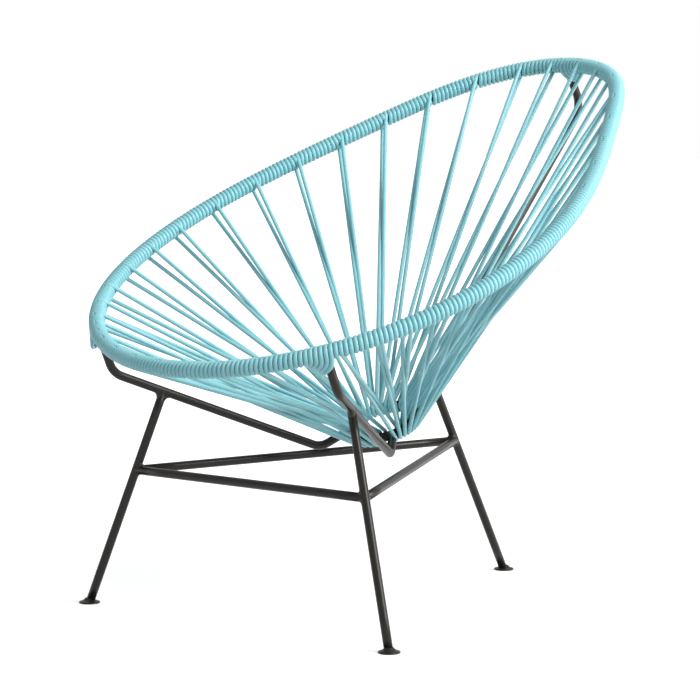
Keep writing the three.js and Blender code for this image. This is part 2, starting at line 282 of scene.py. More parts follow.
@dataclass(frozen=True)
class CordPlastic:
    """Round extruded vinyl cord in pale aqua: draw lines along it, slight shade changes and scuffs.

    A pattern is given by its scale, its detail and, where it isn't a half, its roughness.
    """

    deep: Colour = (0.190, 0.500, 0.548, 1.0)
    pale: Colour = (0.300, 0.625, 0.673, 1.0)
    gloss: float = 0.40
    refraction: float = 1.5
    line_scale: tuple[float, float, float] = (6.0, 34.0, 1.0)
    lines: tuple[float, ...] = (1.0, 2.0)
    cloud: tuple[float, ...] = (9.0, 3.0)
    scuff: tuple[float, ...] = (240.0, 4.0, 0.6)
    colour_shares: tuple[float, float, float] = (0.45, 0.35, 0.2)
    height_shares: tuple[float, float] = (0.7, 0.3)
    rough_spreads: tuple[float, float] = (0.16, 0.08)
    bump_strength: float = 0.3
    bump_depth: float = 0.00025

    def build(self) -> bpy.types.Material:
        """Make the material. The cord's own UV runs along it in metres and round it from nought to one.

        Returns:
            The finished material.
        """
        g = Graph(bpy.data.materials.new("pvc_cord_aqua"))
        uv = g.add("ShaderNodeUVMap", {"uv_map": "UVMap"}, output="UV")
        place = g.add("ShaderNodeTexCoord", output="Object")
        tone = g.add("ShaderNodeAttribute", {"attribute_name": "tone"}, output="Fac")
        lines_place = g.add("ShaderNodeMapping", {}, {"Vector": uv, "Scale": self.line_scale})
        lines = g.noise(lines_place, *self.lines)
        cloud, scuff = g.noise(place, *self.cloud), g.noise(place, *self.scuff)
        by_tone, by_cloud, by_lines = self.colour_shares
        colour = g.mix(tone * by_tone + cloud * by_cloud + lines * by_lines, self.deep, self.pale)
        height = lines * self.height_shares[0] + scuff * self.height_shares[1]
        bump = g.add("ShaderNodeBump", {}, {
            "Strength": self.bump_strength, "Distance": self.bump_depth, "Height": height})
        rough = self.gloss + (scuff - 0.5) * self.rough_spreads[0] + (cloud - 0.5) * self.rough_spreads[1]
        return g.close(g.add("ShaderNodeBsdfPrincipled", {}, {
            "Base Color": colour, "Roughness": rough, "Normal": bump, "IOR": self.refraction}))


@dataclass(frozen=True)
class StudioFloor:
    """Plain pale floor: it keeps the chair's shadow, and looks white to the camera away from it."""

    paint: Colour = (0.60, 0.60, 0.60, 1.0)
    dullness: float = 0.9
    lift: float = 0.58
    far_lift: float = 1.0
    near: float = 0.8
    far: float = 2.2

    def build(self) -> bpy.types.Material:
        """Make the material. The glow grows with the distance from the chair's middle.

        Returns:
            The finished material.
        """
        g = Graph(bpy.data.materials.new("studio_floor"))
        place = g.add("ShaderNodeTexCoord", output="Object")
        away = g.add("ShaderNodeVectorMath", {"operation": "LENGTH"}, {0: place}, output="Value")
        glow = (self.lift + (self.far_lift - self.lift) * away.ramp(self.near, self.far)) * g.shown_white()
        return g.close(g.add("ShaderNodeBsdfPrincipled", {}, {
            "Base Color": self.paint, "Roughness": self.dullness, "Emission Color": g.grey(glow),
            "Emission Strength": 1.0}))


@dataclass(frozen=True)
class StudioSky:
    """An even pale light from all round, which the camera sees as plain white and gloss as nearly so."""

    light: Colour = (0.46, 0.46, 0.475, 1.0)
    shown: Colour = (1.0, 1.0, 1.0, 1.0)
    gloss: float = 0.6

    def build(self) -> bpy.types.World:
        """Make the world.

        Returns:
            The finished world.
        """
        g = Graph(bpy.data.worlds.new("studio"))
        colour = g.mix(g.shown_white(self.gloss), self.light, self.shown)
        return g.close(g.add("ShaderNodeBackground", {}, {"Color": colour}), "ShaderNodeOutputWorld")


# Shapes

@dataclass
class Tube:
    """A round or oval section carried along a path.

    A point of its skin is the path's point, plus the cosine of the turn times the half width on the
    side axis, plus the sine of the turn times the half height on the axis square to both.
    """

    path: Array
    side: Array
    half_width: Array | float
    half_height: Array | float
    sides: int = 12
    closed: bool = False
    start: float = 0.0
    tone: float = PLAIN_TONE

    def arrays(self, base: int) -> tuple[Array, list[list[int]], Array, Array, Array]:
        """Work out the skin.

        Args:
            base: The number of the tube's first point in its piece.

        Returns:
            Points, faces, the UV of each face corner, the tone of each point, and whether each face
            is smooth.
        """
        count, sides = len(self.path), self.sides
        if self.closed:
            along = unit(np.roll(self.path, -1, axis=0) - np.roll(self.path, 1, axis=0))
        else:
            along = unit(np.gradient(self.path, axis=0))
        side = across(self.side, along)
        square = np.cross(along, side)
        turn = 2.0 * np.pi * np.arange(sides) / sides
        wide = np.broadcast_to(np.asarray(self.half_width, float), (count,))[:, None, None]
        high = np.broadcast_to(np.asarray(self.half_height, float), (count,))[:, None, None]
        points = (self.path[:, None, :] + wide * np.cos(turn)[None, :, None] * side[:, None, :]
                  + high * np.sin(turn)[None, :, None] * square[:, None, :])
        spans = count if self.closed else count - 1
        i, j = np.arange(spans)[:, None], np.arange(sides)[None, :]
        quads = grid_quads(spans, count, sides)
        steps = np.linalg.norm(np.diff(self.path, axis=0, append=self.path[:1]), axis=1)
        length = self.start + np.concatenate([[0.0], np.cumsum(steps)])
        u0, u1 = length[:spans, None] + 0 * j, length[1:spans + 1, None] + 0 * j
        v0, v1 = (j + 0 * i) / sides, (j + 1 + 0 * i) / sides
        uv = np.stack([np.stack([u0, v0], -1), np.stack([u0, v1], -1),
                       np.stack([u1, v1], -1), np.stack([u1, v0], -1)], axis=2).reshape(-1, 2)
        faces, smooth_faces = (base + quads).tolist(), np.ones(len(quads), bool)
        if not self.closed:
            ring = base + np.arange(sides)
            faces += [ring[::-1].tolist(), ((count - 1) * sides + ring).tolist()]
            smooth_faces = np.append(smooth_faces, [False, False])
            round_uv = np.stack([np.zeros(sides), np.arange(sides) / sides], -1)
            uv = np.concatenate([uv, round_uv + [length[0], 0.0], round_uv + [length[count - 1], 0.0]])
        return points.reshape(-1, 3), faces, uv, np.full(count * sides, self.tone), smooth_faces


@dataclass
class Piece:
    """One named mesh object, gathered from tubes and grids and hung on the root body."""

    name: str
    nodes: Sequence[str]
    slot: str
    points: list[Array] = field(default_factory=list)
    faces: list[list[int]] = field(default_factory=list)
    uvs: list[Array] = field(default_factory=list)
    tones: list[Array] = field(default_factory=list)
    smooths: list[Array] = field(default_factory=list)

    def _count(self) -> int:
        """The number of points so far."""
        return sum(len(p) for p in self.points)

    def _keep(self, points: Array, faces: list[list[int]], uv: Array, tone: Array,
              smooth_faces: Array) -> None:
        """Add one shape's arrays to the piece's.

        Args:
            points: The shape's points.
            faces: Its faces, in the piece's own numbers.
            uv: The UV of each face corner.
            tone: The tone of each point.
            smooth_faces: Whether each face is smooth.
        """
        self.points.append(points)
        self.faces += faces
        self.uvs.append(uv)
        self.tones.append(tone)
        self.smooths.append(smooth_faces)

    def add_tube(self, tube: Tube) -> None:
        """Add a tube's skin, with its two ends flat where it is open."""
        self._keep(*tube.arrays(self._count()))

    def add_grid(self, grid: Array, poles: bool = False) -> None:
        """Add a grid of points that closes on itself both ways, or at a pole at each end.

        Args:
            grid: Points by row, by column, by axis. Columns go round the piece.
            poles: Whether the first and last rows shrink to one point each.
        """
        rows, columns = grid.shape[:2]
        base = self._count()
        quads = grid_quads(rows - 1 if poles else rows, rows, columns)
        points = grid.reshape(-1, 3)
        faces = (quads + base).tolist()
        corners = 4 * len(quads)
        if poles:
            tips = np.stack([grid[0].mean(axis=0), grid[-1].mean(axis=0)])
            first, last = base + len(points), base + len(points) + 1
            ring = np.arange(columns)
            after = (ring + 1) % columns
            start = np.stack([np.full(columns, first), base + after, base + ring], axis=-1)
            row = base + (rows - 1) * columns
            end = np.stack([np.full(columns, last), row + ring, row + after], axis=-1)
            points = np.concatenate([points, tips])
            faces += start.tolist() + end.tolist()
            corners += 3 * (len(start) + len(end))
        tone, smooth_faces = np.full(len(points), PLAIN_TONE), np.ones(len(faces), bool)
        self._keep(points, faces, np.zeros((corners, 2)), tone, smooth_faces)

    def finish(self, material: bpy.types.Material) -> bpy.types.Object:
        """Make the object, dress it, hang it on the root body, and hide the nodes that it stands for.

        Args:
            material: The piece's finish.

        Returns:
            The finished object.
        """
        mesh = bpy.data.meshes.new(self.name)
        mesh.from_pydata(np.concatenate(self.points).tolist(), [], self.faces)
        mesh.polygons.foreach_set("use_smooth", np.concatenate(self.smooths))
        layer = mesh.uv_layers.new(name="UVMap")
        layer.data.foreach_set("uv", np.concatenate(self.uvs).astype(np.float32).ravel())
        tone = mesh.attributes.new("tone", "FLOAT", "POINT")
        tone.data.foreach_set("value", np.concatenate(self.tones).astype(np.float32))
        mesh.update()
        mesh.materials.append(material)
        piece = bpy.data.objects.new(self.name, mesh)
        bpy.context.scene.collection.objects.link(piece)
        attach(piece, "root")
        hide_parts(*self.nodes)
        LOG.info("%s: %d faces, for %s", self.name, len(self.faces), ", ".join(self.nodes))
        return piece


@dataclass(frozen=True)
class Hoop:
    """The seat hoop's centre line. Each coordinate is a sum of cosines of the angle round it."""

    setback: float
    half_width: float = 0.353
    front_width: float = 0.169
    shoulder_width: float = 0.071
    mid_setback: float = 0.403
    half_run: float = 0.420
    side_forward: float = 0.071
    end_pinch: float = 0.025
    mid_height: float = 0.610
    half_rise: float = 0.197
    side_lift: float = 0.032
    end_lift: float = 0.010
    samples: int = 7200
    tangent_step: float = 1e-3

    def point(self, angle: Array | float) -> Array:
        """Points at angles from the front centre towards the sitter's left.

        Args:
            angle: Angles in radians.

        Returns:
            Points. Across: the sine times a width that itself varies. Back and up: a middle value
            less cosines of one, two and three times the angle.
        """
        a = np.asarray(angle, float)
        one, two, three = np.cos(a), np.cos(2 * a), np.cos(3 * a)
        return np.stack([
            np.sin(a) * (self.half_width + self.front_width * one + self.shoulder_width * two),
            self.mid_setback - self.half_run * one - self.side_forward * two - self.end_pinch * three
            + self.setback,
            self.mid_height - self.half_rise * one - self.side_lift * two - self.end_lift * three], axis=-1)

    def table(self) -> tuple[Array, Array]:
        """Measure the rod round the hoop in short straight steps.

        Returns:
            Angles round the hoop, and the length of rod from the front centre to each.
        """
        angles = np.linspace(0.0, 2.0 * np.pi, self.samples + 1)
        steps = np.linalg.norm(np.diff(self.point(angles), axis=0), axis=1)
        return angles, np.concatenate([[0.0], np.cumsum(steps)])

    def round_length(self) -> float:
        """The length of rod all the way round."""
        return float(self.table()[1][-1])

    def length_at(self, degrees: float) -> float:
        """The length of rod from the front centre to an angle in degrees."""
        angles, lengths = self.table()
        return float(np.interp(math.radians(degrees), angles, lengths))

    def frames(self, length: Array | float) -> tuple[Array, Array, Array, Array]:
        """Places and axes at lengths of rod from the front centre.

        Args:
            length: Lengths in metres, of any sign.

        Returns:
            Points, the way along, the way out of the hoop, and the way down through it.
        """
        angles, lengths = self.table()
        a = np.interp(np.mod(length, lengths[-1]), lengths, angles)
        at = self.point(a)
        along = unit(self.point(a + self.tangent_step) - self.point(a - self.tangent_step))
        middle = (self.point(0.0) + self.point(np.pi)) / 2.0
        out = across(at - middle, along)
        return at, along, out, np.cross(along, out)


@dataclass(frozen=True)
class Ring:
    """The small bottom ring's centre line, a circle tipped up at the back."""

    setback: float
    radius: float = 0.050
    behind: float = 0.327
    height: float = 0.259
    tilt: float = math.radians(25.0)

    def out(self, angle: Array | float) -> Array:
        """The way out of the ring.

        Args:
            angle: Angles from its front towards the sitter's left.

        Returns:
            Unit vectors: the sine across, less the cosine on the way back up the ring's slope.
        """
        a = np.asarray(angle, float)[..., None]
        back = np.array([0.0, math.cos(self.tilt), math.sin(self.tilt)])
        return np.array([1.0, 0.0, 0.0]) * np.sin(a) - back * np.cos(a)

    def along(self, angle: Array | float) -> Array:
        """The way round the ring at angles."""
        return self.out(np.asarray(angle, float) + np.pi / 2)

    def point(self, angle: Array | float) -> Array:
        """Points of the centre line at angles."""
        centre = np.array([0.0, self.behind + self.setback, self.height])
        return centre + self.radius * self.out(angle)


# The welded frame

@dataclass
class WeldedFrame:
    """Bent arms, splayed legs, stretchers, hoop and ring of one rod size, with their welds and feet.

    Knees and toes are given as a setback or reach and a drop. A weld bead's least is its bulk at the
    sides of the joint, as a share of its bulk in the plane of the two rods, and its root and core
    lie inside them. A foot's shares are its outline from the floor up.
    """

    hoop: Hoop
    ring: Ring
    coat: bpy.types.Material
    rod: float = 0.00635
    bend: float = 0.034
    toe_bend: float = 0.028
    arm_hoop_angle: float = 22.3
    arm_ring_angle: float = math.radians(55.0)
    front_knee: tuple[float, float] = (0.026, 0.057)
    front_toe: tuple[float, float] = (0.045, 0.025)
    toe_heading: float = math.radians(36.0)
    rear_knee: tuple[float, float] = (0.042, 0.066)
    rear_toe: tuple[float, float] = (0.020, 0.013)
    front_foot: float = 0.285
    rear_foot: float = 0.622
    front_leg_share: float = 0.237
    rear_leg_share: float = 0.889
    front_stretcher: float = 0.199
    rear_stretcher: float = 0.215
    foot_radius: float = 0.0155
    foot_height: float = 0.0075
    foot_radius_shares: tuple[float, ...] = (
        0.30, 0.86, 0.95, 1.0, 1.0, 0.96, 0.88, 0.72, 0.58, 0.50, 0.46, 0.43, 0.36, 0.20)
    foot_height_shares: tuple[float, ...] = (
        0.0, 0.0, 0.03, 0.12, 0.24, 0.35, 0.42, 0.52, 0.66, 0.80, 0.92, 1.0, 1.04, 1.05)
    leg_lift: float = 0.004
    leg_weld: float = 0.0075
    ring_weld: float = 0.008
    stretcher_weld: float = 0.005
    bead_least: float = 0.35
    bead_ripple: float = 0.10
    bead_ripples: float = 9.0
    bead_hollow: float = 0.28
    bead_root: float = 0.0025
    bead_core: float = 0.004
    bead_core_lift: float = 0.001
    bend_room_share: float = 0.48
    sideways: float = 0.8
    sides: int = 24
    foot_sides: int = 48
    bead_sides: int = 40
    bead_rows: int = 8
    straight_points: int = 9
    hoop_points: int = 360
    hoop_sides: int = 16
    ring_points: int = 96
    ring_sides: int = 20

    def arm_corners(self, side: Side) -> Array:
        """The corners of one arm's centre line.

        Args:
            side: Which arm.

        Returns:
            Its points at the hoop, the knee, the toe and the ring.
        """
        if side is Side.REAR:
            top, end = self.hoop.point(np.pi), self.ring.point(np.pi)
            knee = top + [0.0, self.rear_knee[0], -self.rear_knee[1]]
            toe = end + [0.0, self.rear_toe[0], -self.rear_toe[1]]
        else:
            top = self.hoop.point(side.hand * math.radians(self.arm_hoop_angle))
            end = self.ring.point(side.hand * self.arm_ring_angle)
            knee = top + [0.0, self.front_knee[0], -self.front_knee[1]]
            reach, drop = self.front_toe
            ahead = -reach * math.cos(self.toe_heading)
            toe = end + [side.hand * reach * math.sin(self.toe_heading), ahead, -drop]
        return np.stack([top, knee, toe, end])

    def bent(self, corners: Array, radii: Sequence[float], steps: int = 12) -> Array:
        """A line with each inner corner turned into an arc.

        Args:
            corners: Points of the line.
            radii: Bend radius at each inner corner.
            steps: Points on each arc.

        Returns:
            Points of the rounded line. An arc is the centre plus the radius times the cosine of the
            turn on the starting spoke and its sine on the way in.
        """
        parts = [corners[:1]]
        for i, radius in enumerate(radii, start=1):
            before, after = corners[i] - corners[i - 1], corners[i + 1] - corners[i]
            room = self.bend_room_share * min(np.linalg.norm(before), np.linalg.norm(after))
            inward, outward = unit(before), unit(after)
            turn = math.acos(float(np.clip(inward @ outward, -1, 1)))
            radius = min(radius, room / math.tan(turn / 2))
            centre_way = across(outward, inward)
            start = corners[i] - inward * radius * math.tan(turn / 2)
            angles = np.linspace(0.0, turn, steps)[:, None]
            arc = start + radius * (centre_way * (1 - np.cos(angles)) + inward * np.sin(angles))
            parts.append(arc)
        parts.append(corners[-1:])
        return np.concatenate(parts)

    def foot_place(self, side: Side) -> Array:
        """Where a foot stands.

        Args:
            side: Which foot.

        Returns:
            The middle of its underside.
        """
        if side is Side.REAR:
            return np.array([0.0, self.rear_foot + self.hoop.setback, 0.0])
        return np.array([side.hand * self.front_foot, self.hoop.setback, 0.0])

    def leg_top(self, side: Side) -> Array:
        """Where a leg meets its arm's centre line.

        Args:
            side: Which leg.

        Returns:
            The point, at the leg's share of the straight run from the knee to the toe.
        """
        corners = self.arm_corners(side)
        share = self.rear_leg_share if side is Side.REAR else self.front_leg_share
        return corners[1] + (corners[2] - corners[1]) * share

    def stretcher_place(self, side: Side) -> Array:
        """Where the stretchers meet a leg's centre line.

        Args:
            side: Which leg.

        Returns:
            The point at the stretchers' height.
        """
        foot, top = self.foot_place(side), self.leg_top(side)
        height = self.rear_stretcher if side is Side.REAR else self.front_stretcher
        return foot + (top - foot) * height / top[2]

    def rod_tube(self, path: Array) -> Tube:
        """A rod of the frame's size.

        Args:
            path: Its centre line.

        Returns:
            The rod. Its side axis is across the chair, or upright where the rod runs across.
        """
        way = unit(path[-1] - path[0])
        side = np.array([1.0, 0.0, 0.0]) if abs(way[0]) < self.sideways else np.array([0.0, 0.0, 1.0])
        return Tube(path, np.broadcast_to(side, path.shape), self.rod, self.rod, self.sides)

    def weld_bead(self, piece: Piece, end: Array, way: Array, other: Array, size: float) -> None:
        """Add the rounded weld where one rod ends on another of the same size.

        The two skins meet where the ending rod's distance from the joint is the rod's radius times
        the size of the cosine round it, over one plus or minus the cosine between the rods. The bead
        is a hollow curve between a point on each rod, closed by a line inside them.

        Args:
            piece: The piece that the bead belongs to.
            end: The joint, on the other rod's centre line.
            way: The way from the ending rod towards the joint.
            other: The way along the other rod.
            size: How far the bead runs out on each rod.
        """
        axis, other_axis = unit(way), unit(other)
        first_spoke = across(other_axis, axis)
        second_spoke = np.cross(axis, first_spoke)
        turns = 2.0 * np.pi * np.arange(self.bead_sides)[:, None] / self.bead_sides
        cosine, sine = np.cos(turns), np.sin(turns)
        spoke = cosine * first_spoke + sine * second_spoke
        slope = float(other_axis @ axis)
        lean = float(other_axis @ first_spoke)
        back = self.rod * np.abs(cosine) * lean / np.where(cosine > 0, 1.0 + slope, 1.0 - slope)
        meet = end - axis * back + self.rod * spoke
        axis_part = other_axis * ((meet - end) @ other_axis)[:, None]
        normal = unit(meet - end - axis_part)
        away = unit(spoke - normal * dot(spoke, normal) + TINY * first_spoke)
        bulk = size * (self.bead_least + (1.0 - self.bead_least) * np.abs(cosine))
        ripple = 1.0 + self.bead_ripple * np.sin(turns * self.bead_ripples)
        low = meet - axis * bulk * ripple
        high = end + other_axis * ((meet + away * bulk - end) @ other_axis)[:, None]
        far = meet + away * bulk * ripple
        high = high + self.rod * unit(far - high)
        middle = meet + self.bead_hollow * ((low + high) / 2.0 - meet)
        share = np.linspace(0.0, 1.0, self.bead_rows)[:, None, None]
        hollow = (1 - share) ** 2 * low + 2 * share * (1 - share) * middle + share * share * high
        inside = np.stack([
            high - normal * self.bead_root,
            meet - spoke * self.bead_core + axis * self.bead_core_lift,
            low - spoke * self.bead_root])
        piece.add_grid(np.concatenate([hollow, inside])[::-1])

    def build(self) -> list[bpy.types.Object]:
        """Make every rod and foot of the frame.

        Returns:
            The finished pieces.
        """
        done = []
        length = self.hoop.round_length()
        at, _, out, _ = self.hoop.frames(np.linspace(0.0, length, self.hoop_points + 1)[:-1])
        hoop = Piece("hoop_rod", ["seat_hoop"], "powder_coat")
        hoop.add_tube(Tube(at, out, self.rod, self.rod, self.hoop_sides, closed=True))
        done.append(hoop.finish(self.coat))
        angles = 2.0 * np.pi * np.arange(self.ring_points) / self.ring_points
        ring = Piece("ring_rod", ["bottom_ring"], "powder_coat")
        path, side_way = self.ring.point(angles), self.ring.out(angles)
        ring.add_tube(Tube(path, side_way, self.rod, self.rod, self.ring_sides, closed=True))
        done.append(ring.finish(self.coat))
        for side in Side:
            done += self.build_leg_set(side)
        done += self.build_stretchers()
        return done

    def build_leg_set(self, side: Side) -> list[bpy.types.Object]:
        """Make one arm with its weld to the ring, its leg with the weld to the arm, and its foot.

        Args:
            side: Which arm and leg.

        Returns:
            The finished arm, leg and foot.
        """
        corners = self.arm_corners(side)
        arm = Piece(f"arm_rod_{side.value}", [f"arm_{side.value}"], "powder_coat")
        arm.add_tube(self.rod_tube(self.bent(corners, [self.bend, self.toe_bend])))
        ring_angle = np.pi if side is Side.REAR else side.hand * self.arm_ring_angle
        self.weld_bead(arm, corners[3], corners[3] - corners[2], self.ring.along(ring_angle), self.ring_weld)
        foot, top = self.foot_place(side), self.leg_top(side)
        leg = Piece(f"leg_rod_{side.value}", [f"leg_{side.value}"], "powder_coat")
        rise = unit(top - foot)
        leg.add_tube(self.rod_tube(np.linspace(foot + rise * self.leg_lift, top, self.straight_points)))
        self.weld_bead(leg, top, rise, corners[2] - corners[1], self.leg_weld)
        return [arm.finish(self.coat), leg.finish(self.coat), self.build_foot(side)]

    def build_foot(self, side: Side) -> bpy.types.Object:
        """Make a foot: a rounded disc with a hollow cone up to the leg, turned about the upright axis.

        Args:
            side: Which foot.

        Returns:
            The finished foot.
        """
        radius = np.array(self.foot_radius_shares)[:, None] * self.foot_radius
        height = np.array(self.foot_height_shares)[:, None] * self.foot_height
        turn = 2.0 * np.pi * np.arange(self.foot_sides) / self.foot_sides
        grid = np.stack([radius * np.cos(turn), radius * np.sin(turn), height + 0.0 * turn], axis=-1)
        grid = grid + self.foot_place(side)
        foot = Piece(f"foot_disc_{side.value}", [f"foot_{side.value}"], "powder_coat")
        foot.add_grid(grid, poles=True)
        return foot.finish(self.coat)

    def build_stretchers(self) -> list[bpy.types.Object]:
        """Make the three stretchers, each with a weld at both legs.

        Returns:
            The finished stretchers.
        """
        done = []
        for name, first, last in (("front", Side.LEFT, Side.RIGHT), ("left", Side.LEFT, Side.REAR),
                                  ("right", Side.RIGHT, Side.REAR)):
            a, b = self.stretcher_place(first), self.stretcher_place(last)
            piece = Piece(f"stretcher_rod_{name}", [f"stretcher_{name}"], "powder_coat")
            piece.add_tube(self.rod_tube(np.linspace(a, b, self.straight_points)))
            for end, way, side in ((a, a - b, first), (b, b - a, last)):
                leg_way = self.leg_top(side) - self.foot_place(side)
                self.weld_bead(piece, end, way, leg_way, self.stretcher_weld)
            done.append(piece.finish(self.coat))
        return done


# The cord

@dataclass
class CordWork:
    """One cord wound round the hoop, let down in loops round the bottom ring as it goes.

    The winding is a helix: the turn goes over the top of the rim at whole numbers of turns, then
    down its inner side, under it and up its outer side. Before each arm the last turns are drawn
    down over the arm's top as a knuckle, which on the right also stands out of the hoop and ends
    before the arm. Next to each strand the turns are pushed together to close the slot that the
    strand leaves. Nodes are the numbers of the turns that are let down, and ring spans are in degrees.
    Powers are those of the turns' own moves and of the right bay's slide.
    """

    hoop: Hoop
    ring: Ring
    frame: WeldedFrame
    cord: bpy.types.Material
    turns: int = 388
    phase: float = 0.17
    seat: float = 0.0093
    half_width_share: float = 0.497
    half_height: float = 0.00295
    strand: float = 0.0030
    front_offset: float = 0.0036
    left_offset: float = 0.0046
    right_offset: float = 0.0018
    steps: int = 24
    sides: int = 12
    knuckle_turns: float = 4.4
    knuckle_drop: float = 0.019
    knuckle_lean: float = 0.0155
    lean_fade: float = 3.2
    arm_edge: float = 0.007
    right_edge: float = -0.013
    right_bulge: float = 0.0135
    slot_shares: tuple[float, ...] = (0.38, 0.27, 0.17, 0.08)
    front_nodes: tuple[int, ...] = (-28, -20, -12, -4, 4, 12, 21, 30)
    left_nodes: tuple[int, ...] = (
        37, 45, 51, 59, 68, 78, 88, 100, 112, 123, 135, 147, 159, 172, 182, 190)
    right_nodes: tuple[int, ...] = (
        198, 206, 217, 229, 241, 253, 265, 277, 289, 301, 311, 321, 331, 339, 346, 351)
    front_ring: tuple[float, float] = (-33.0, 39.0)
    left_ring: tuple[float, float] = (61.0, 170.0)
    right_ring: tuple[float, float] = (190.5, 298.5)
    right_slide: float = 11.0
    slide_powers: tuple[float, float] = (1.3, 1.2)
    lean_reach: float = 4.0
    drop_power: float = 1.1
    drop_round_power: float = 1.5
    lean_round_power: int = 4
    slot_round_power: int = 2
    slot_down: float = 0.5
    arc_share: float = 0.11
    first_guess: tuple[float, float] = (0.12, 0.62)
    strand_middle: float = 0.3
    tries: int = 8
    bow: float = 0.0003
    settle: float = 0.014
    rim_points: tuple[int, int] = (10, 12)
    loop_points: int = 15
    end_steps: tuple[float, ...] = (0.0, 0.0025, 0.005, 0.008, 0.011, 0.014)
    clear_end: float = 0.03
    middle_points: int = 14
    winding_tone: tuple[float, float] = (0.25, 1.7)
    strand_tone: tuple[float, float] = (0.3, 2.3)
    winding_start: float = 0.06
    strand_start: float = 0.31

    def __post_init__(self) -> None:
        """Work out the pitch, the arms' places and the way each turn is pushed aside."""
        self.pitch = self.hoop.round_length() / self.turns
        arm = self.hoop.length_at(self.frame.arm_hoop_angle)
        whole = self.hoop.round_length()
        self.arm_lengths = {Side.LEFT: arm, Side.REAR: whole / 2, Side.RIGHT: whole - arm}
        self.nodes = {Bay.FRONT: self.front_nodes, Bay.LEFT: self.left_nodes, Bay.RIGHT: self.right_nodes}
        self.offsets = {
            Bay.FRONT: self.front_offset, Bay.LEFT: self.left_offset, Bay.RIGHT: self.right_offset}
        self.ring_spans = {Bay.FRONT: self.front_ring, Bay.LEFT: self.left_ring, Bay.RIGHT: self.right_ring}
        self._set_pushes()

    def _set_pushes(self) -> None:
        """For each turn, set how it is drawn down an arm and leant from it, and how it slides into a slot.

        The drop down the arm is a power of the turn's share of the knuckle, and on the right the
        square root of that share moves it out of the hoop too. The lean dies away with the number
        of turns from the arm.
        """
        bottom = (np.arange(self.turns) + 0.5 + self.phase) * self.pitch
        whole = self.hoop.round_length()
        _, along, out, _ = self.hoop.frames(bottom)
        self.arm_drop = np.zeros((self.turns, 3))
        self.arm_lean = np.zeros(self.turns)
        self.arm_way = np.tile([0.0, 0.0, -1.0], (self.turns, 1))
        self.slot_push = np.zeros(self.turns)
        for side, place in self.arm_lengths.items():
            corners = self.frame.arm_corners(side)
            way = unit(corners[1] - corners[0])
            gap = np.mod(bottom - place + whole / 2, whole) - whole / 2
            edge = self.right_edge if side is Side.RIGHT else self.arm_edge
            order = np.floor((edge - gap) / self.pitch)
            near = (order >= 0) & (order < self.lean_reach * self.lean_fade)
            share = np.clip(1.0 - order / self.knuckle_turns, 0.0, 1.0) * near
            self.arm_drop += way * (self.knuckle_drop * share ** self.drop_power)[:, None]
            if side is Side.RIGHT:
                self.arm_drop += out * (self.right_bulge * np.sqrt(share))[:, None]
            self.arm_lean += self.knuckle_lean * np.exp(-np.abs(order) / self.lean_fade) * near
            self.arm_way[near] = across(np.broadcast_to(way, along.shape), along)[near]
        for bay in Bay:
            for node in self.nodes[bay]:
                for k, share in enumerate(self.slot_shares, start=1):
                    self.slot_push[(node - 1 - k) % self.turns] += share * self.pitch
                    self.slot_push[(node - 1 + k) % self.turns] -= share * self.pitch

    def helix(self, turn: Array, lean: Array | float = 0.0) -> tuple[Array, Array]:
        """Points of the winding's centre line.

        Args:
            turn: Turns from the start, whole at the top of the rim.
            lean: Metres that each point is moved along the rim.

        Returns:
            Points and the way along the hoop at each. A point is the hoop's, plus the seat radius on
            a spoke that goes round once a turn, plus the turn's own moves. Each move grows with a
            power of the cosine of the spoke to a side: the arm's for the drop and the lean, and the
            lower inner side, where the strands leave, for the slide into a slot.
        """
        turn = np.asarray(turn, float)
        at, along, out, down = self.hoop.frames((turn + self.phase) * self.pitch)
        angle = (-np.pi / 2 - 2.0 * np.pi * turn)[:, None]
        spoke = np.cos(angle) * out + np.sin(angle) * down
        which = np.floor(turn + TINY).astype(int) % self.turns
        arm_side = np.maximum(0.0, dot(spoke, self.arm_way[which]))
        slot_side = np.maximum(0.0, dot(spoke, unit(self.slot_down * down - out)))
        slide = (self.slot_push[which][:, None] * slot_side ** self.slot_round_power
                 - self.arm_lean[which][:, None] * arm_side ** self.lean_round_power)
        move = self.arm_drop[which] * arm_side ** self.drop_round_power + along * slide
        return at + self.seat * spoke + move + along * np.asarray(lean, float).reshape(-1, 1), along

    def wound(self, first: int, last: int) -> Tube:
        """A length of winding from one top of the rim to another.

        Args:
            first: The turn at which it starts.
            last: The turn at which it ends.

        Returns:
            The winding's tube.
        """
        count = (last - first) * self.steps
        path, along = self.helix(first + np.arange(count + 1) / self.steps)
        spread, change = self.winding_tone
        return Tube(path, along, self.pitch * self.half_width_share, self.half_height, self.sides,
                    start=first * self.winding_start, tone=PLAIN_TONE + spread * math.sin(first * change))

